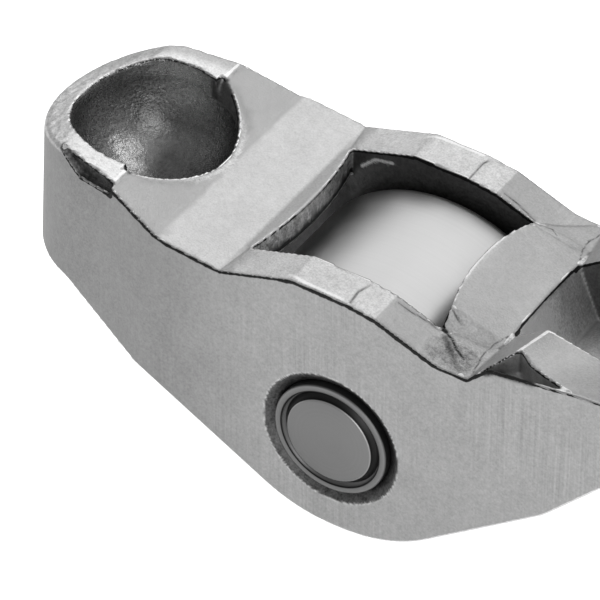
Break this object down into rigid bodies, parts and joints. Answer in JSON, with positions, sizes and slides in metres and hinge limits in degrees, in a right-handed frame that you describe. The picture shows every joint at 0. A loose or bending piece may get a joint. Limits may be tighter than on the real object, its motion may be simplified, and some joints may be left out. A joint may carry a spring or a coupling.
{
  "type": "roller finger rocker arm",
  "caption": "Steel rocker arm with a ball socket at one end, a valve pad at the other and a needle-bearing cam roller between its side walls.",
  "frame": {"origin": "centre of the ball socket", "axes": "+X from the socket to the valve end, +Y across the arm, +Z out of the socket's mouth; the roller's tread faces -Z"},
  "size_m": [0.0483, 0.0164, 0.0206],
  "materials": {
    "formed_steel": "bare case-hardened formed steel, fine matt grain",
    "pin_steel": "hardened steel, staked ends",
    "roller_steel": "ground bearing steel",
    "needle_steel": "ground bearing steel"
  },
  "bodies": {
    "arm": {"arm_body": "formed_steel", "axle_pin": "pin_steel"},
    "roller": {"roller": "roller_steel"},
    "needles": {"needle_01": "needle_steel", "needle_02": "needle_steel", "needle_03": "needle_steel", "needle_04": "needle_steel", "needle_05": "needle_steel", "needle_06": "needle_steel", "needle_07": "needle_steel", "needle_08": "needle_steel", "needle_09": "needle_steel", "needle_10": "needle_steel", "needle_11": "needle_steel", "needle_12": "needle_steel", "needle_13": "needle_steel", "needle_14": "needle_steel", "needle_15": "needle_steel", "needle_16": "needle_steel", "needle_17": "needle_steel"}
  },
  "joints": [
    {"name": "roller_spin", "type": "hinge", "parent": "arm", "child": "roller", "pos_m": [0.017, 0, -0.0102], "axis": [0, 1, 0], "continuous": true},
    {"name": "needle_orbit", "type": "hinge", "parent": "arm", "child": "needles", "pos_m": [0.017, 0, -0.0102], "axis": [0, 1, 0], "continuous": true}
  ],
  "couplings": [
    {"joint": "needle_orbit", "follows": "roller_spin", "ratio": 0.5921}
  ]
}
